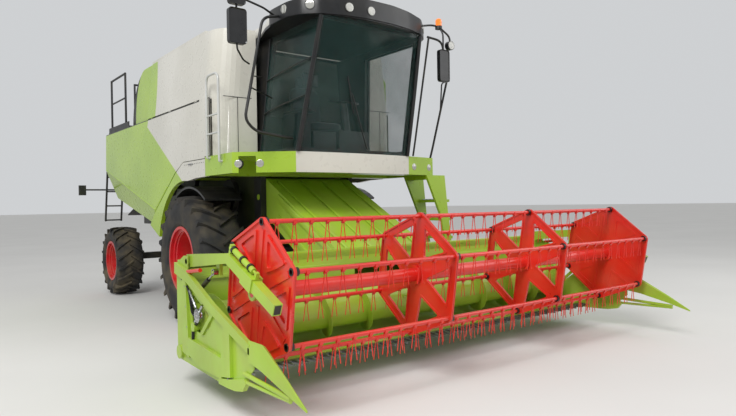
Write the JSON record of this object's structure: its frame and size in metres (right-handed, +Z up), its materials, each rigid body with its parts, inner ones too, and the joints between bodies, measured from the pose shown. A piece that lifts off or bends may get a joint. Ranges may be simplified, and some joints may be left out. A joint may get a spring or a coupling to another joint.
{
  "type": "combine harvester",
  "caption": "Self-propelled combine harvester with a cutting header, tined reel, glazed cab, grain tank with unloading auger, hinged side panels and steered rear wheels.",
  "frame": {"origin": "on the ground plane under the middle of the bounding box: the wheels stand on z = 0", "axes": "the machine faces -Y with its header in front, +X is its left side, +Z is up"},
  "size_m": [5.28, 10.02, 4.1005],
  "materials": {
    "green_paint": "gloss",
    "white_paint": "gloss",
    "red_paint": "gloss",
    "black_steel": "satin",
    "black_plastic": "matte",
    "bare_steel": "brushed",
    "tyre": "matte",
    "tinted_glass": "clear",
    "lamp_glass": "clear"
  },
  "bodies": {
    "chassis": {"chassis_frame": "black_steel", "axles": "black_steel", "threshing_housing": "green_paint", "side_drives": "black_steel", "fender_panels": "green_paint", "mudguards": "black_plastic", "grain_tank": "white_paint", "unload_elbow": "white_paint", "engine_hood": "green_paint", "engine_block": "black_steel", "radiator_screen": "black_steel", "service_deck": "black_steel", "straw_hood": "green_paint", "straw_chopper": "black_steel", "cab_platform": "green_paint", "front_cowl": "white_paint", "lamps": "lamp_glass", "cab_frame": "black_steel", "cab_glass": "tinted_glass", "cab_roof": "white_paint", "roof_visor": "black_plastic", "cab_interior": "black_plastic", "mirrors_and_rails": "black_steel"},
    "wheel_front_right": {"front_tyre_right": "tyre", "front_rim_right": "red_paint"},
    "wheel_front_left": {"front_tyre_left": "tyre", "front_rim_left": "red_paint"},
    "steering_right": {"knuckle_right": "black_steel"},
    "steering_left": {"knuckle_left": "black_steel"},
    "wheel_rear_right": {"rear_tyre_right": "tyre", "rear_rim_right": "red_paint"},
    "wheel_rear_left": {"rear_tyre_left": "tyre", "rear_rim_left": "red_paint"},
    "header": {"feeder_house": "green_paint", "header_frame": "green_paint", "header_sides": "green_paint", "knife_bar": "bare_steel"},
    "header_cylinder_barrels": {"lift_barrels": "black_steel"},
    "header_cylinder_rods": {"lift_rods": "bare_steel"},
    "auger": {"header_auger": "green_paint"},
    "reel_support": {"reel_arms": "green_paint"},
    "reel_cylinder_barrels": {"reel_lift_barrels": "black_steel"},
    "reel_cylinder_rods": {"reel_lift_rods": "bare_steel"},
    "reel_carriage": {"reel_sliders": "green_paint"},
    "reel": {"reel_frame": "red_paint"},
    "tines_1": {"tine_bar_1": "red_paint"},
    "tines_2": {"tine_bar_2": "red_paint"},
    "tines_3": {"tine_bar_3": "red_paint"},
    "tines_4": {"tine_bar_4": "red_paint"},
    "tines_5": {"tine_bar_5": "red_paint"},
    "tines_6": {"tine_bar_6": "red_paint"},
    "unloading_auger": {"unload_tube": "green_paint"},
    "door": {"cab_door": "black_steel", "door_glass": "tinted_glass"},
    "ladder": {"boarding_ladder": "green_paint"},
    "panel_right": {"side_panel_right": "green_paint"},
    "panel_left": {"side_panel_left": "green_paint"},
    "cover_right": {"tank_cover_right": "white_paint"},
    "cover_left": {"tank_cover_left": "white_paint"}
  },
  "joints": [
    {"name": "front_wheel_right_spin", "type": "hinge", "parent": "chassis", "child": "wheel_front_right", "pos_m": [-1.275, 0, 0.9], "axis": [1, 0, 0], "continuous": true},
    {"name": "front_wheel_left_spin", "type": "hinge", "parent": "chassis", "child": "wheel_front_left", "pos_m": [1.275, 0, 0.9], "axis": [1, 0, 0], "continuous": true},
    {"name": "rear_steer_right", "type": "hinge", "parent": "chassis", "child": "steering_right", "pos_m": [-1, 3.8, 0.64], "axis": [0, 0, 1], "range_deg": [-32, 32]},
    {"name": "rear_steer_left", "type": "hinge", "parent": "chassis", "child": "steering_left", "pos_m": [1, 3.8, 0.64], "axis": [0, 0, 1], "range_deg": [-32, 32]},
    {"name": "rear_wheel_right_spin", "type": "hinge", "parent": "steering_right", "child": "wheel_rear_right", "pos_m": [-1.3, 3.8, 0.64], "axis": [1, 0, 0], "continuous": true},
    {"name": "rear_wheel_left_spin", "type": "hinge", "parent": "steering_left", "child": "wheel_rear_left", "pos_m": [1.3, 3.8, 0.64], "axis": [1, 0, 0], "continuous": true},
    {"name": "header_lift", "type": "hinge", "parent": "chassis", "child": "header", "pos_m": [0, -0.82, 1.76], "axis": [-1, 0, 0], "range_deg": [-2.4, 20]},
    {"name": "header_cylinder_swing", "type": "hinge", "parent": "chassis", "child": "header_cylinder_barrels", "pos_m": [0, -0.25, 0.88], "axis": [-1, 0, 0], "range_deg": [-1.44, 12.01]},
    {"name": "header_cylinder_stroke", "type": "slide", "parent": "header_cylinder_barrels", "child": "header_cylinder_rods", "axis": [0, -1, 0], "range_m": [-0.03407, 0.28393]},
    {"name": "header_auger_spin", "type": "hinge", "parent": "header", "child": "auger", "pos_m": [0, -3.15, 0.59], "axis": [1, 0, 0], "continuous": true},
    {"name": "reel_lift", "type": "hinge", "parent": "header", "child": "reel_support", "pos_m": [0, -2.95, 1.15], "axis": [-1, 0, 0], "range_deg": [0, 28]},
    {"name": "reel_cylinder_swing", "type": "hinge", "parent": "header", "child": "reel_cylinder_barrels", "pos_m": [0, -3.08, 0.86], "axis": [-1, 0, 0], "range_deg": [0, 23.41]},
    {"name": "reel_cylinder_stroke", "type": "slide", "parent": "reel_cylinder_barrels", "child": "reel_cylinder_rods", "axis": [0, -0.8727, 0.4883], "range_m": [0, 0.14733]},
    {"name": "reel_fore_aft", "type": "slide", "parent": "reel_support", "child": "reel_carriage", "axis": [0, -0.9205, -0.3907], "range_m": [-0.03, 0.32]},
    {"name": "reel_spin", "type": "hinge", "parent": "reel_carriage", "child": "reel", "pos_m": [0, -4.04, 0.97], "axis": [1, 0, 0], "continuous": true},
    {"name": "tine_bar_1_pitch", "type": "hinge", "parent": "reel", "child": "tines_1", "pos_m": [0, -3.95271, 0.41887], "axis": [1, 0, 0], "continuous": true},
    {"name": "tine_bar_2_pitch", "type": "hinge", "parent": "reel", "child": "tines_2", "pos_m": [0, -3.51906, 0.77003], "axis": [1, 0, 0], "continuous": true},
    {"name": "tine_bar_3_pitch", "type": "hinge", "parent": "reel", "child": "tines_3", "pos_m": [0, -3.60635, 1.32116], "axis": [1, 0, 0], "continuous": true},
    {"name": "tine_bar_4_pitch", "type": "hinge", "parent": "reel", "child": "tines_4", "pos_m": [0, -4.12729, 1.52113], "axis": [1, 0, 0], "continuous": true},
    {"name": "tine_bar_5_pitch", "type": "hinge", "parent": "reel", "child": "tines_5", "pos_m": [0, -4.56094, 1.16997], "axis": [1, 0, 0], "continuous": true},
    {"name": "tine_bar_6_pitch", "type": "hinge", "parent": "reel", "child": "tines_6", "pos_m": [0, -4.47365, 0.61884], "axis": [1, 0, 0], "continuous": true},
    {"name": "unloading_auger_swing", "type": "hinge", "parent": "chassis", "child": "unloading_auger", "pos_m": [1.7, -0.35, 3.62], "axis": [0, 0, -1], "range_deg": [0, 95]},
    {"name": "cab_door", "type": "hinge", "parent": "chassis", "child": "door", "pos_m": [0.904, -1.105, 2.43], "axis": [0, 0, 1], "range_deg": [0, 70]},
    {"name": "boarding_ladder_swing", "type": "hinge", "parent": "chassis", "child": "ladder", "pos_m": [1.38, -1.86, 1.9], "axis": [0, 0, -1], "range_deg": [0, 90]},
    {"name": "side_panel_right_open", "type": "hinge", "parent": "chassis", "child": "panel_right", "pos_m": [-1.5, 1.6, 3.034], "axis": [0, 1, 0], "range_deg": [0, 65]},
    {"name": "side_panel_left_open", "type": "hinge", "parent": "chassis", "child": "panel_left", "pos_m": [1.5, 1.6, 3.034], "axis": [0, -1, 0], "range_deg": [0, 65]},
    {"name": "tank_cover_right_open", "type": "hinge", "parent": "chassis", "child": "cover_right", "pos_m": [-1.395, 0.48, 3.9503], "axis": [0, -1, 0], "range_deg": [0, 85]},
    {"name": "tank_cover_left_open", "type": "hinge", "parent": "chassis", "child": "cover_left", "pos_m": [1.395, 0.48, 3.9503], "axis": [0, 1, 0], "range_deg": [0, 85]}
  ],
  "couplings": [
    {"joint": "rear_steer_left", "follows": "rear_steer_right", "ratio": 1},
    {"joint": "header_cylinder_swing", "follows": "header_lift", "ratio": 0.60041},
    {"joint": "header_cylinder_stroke", "follows": "header_lift", "m_per_rad": 0.81339},
    {"joint": "reel_cylinder_swing", "follows": "reel_lift", "ratio": 0.83618},
    {"joint": "reel_cylinder_stroke", "follows": "reel_lift", "m_per_rad": 0.30148},
    {"joint": "tine_bar_1_pitch", "follows": "reel_spin", "ratio": -1},
    {"joint": "tine_bar_2_pitch", "follows": "reel_spin", "ratio": -1},
    {"joint": "tine_bar_3_pitch", "follows": "reel_spin", "ratio": -1},
    {"joint": "tine_bar_4_pitch", "follows": "reel_spin", "ratio": -1},
    {"joint": "tine_bar_5_pitch", "follows": "reel_spin", "ratio": -1},
    {"joint": "tine_bar_6_pitch", "follows": "reel_spin", "ratio": -1}
  ]
}
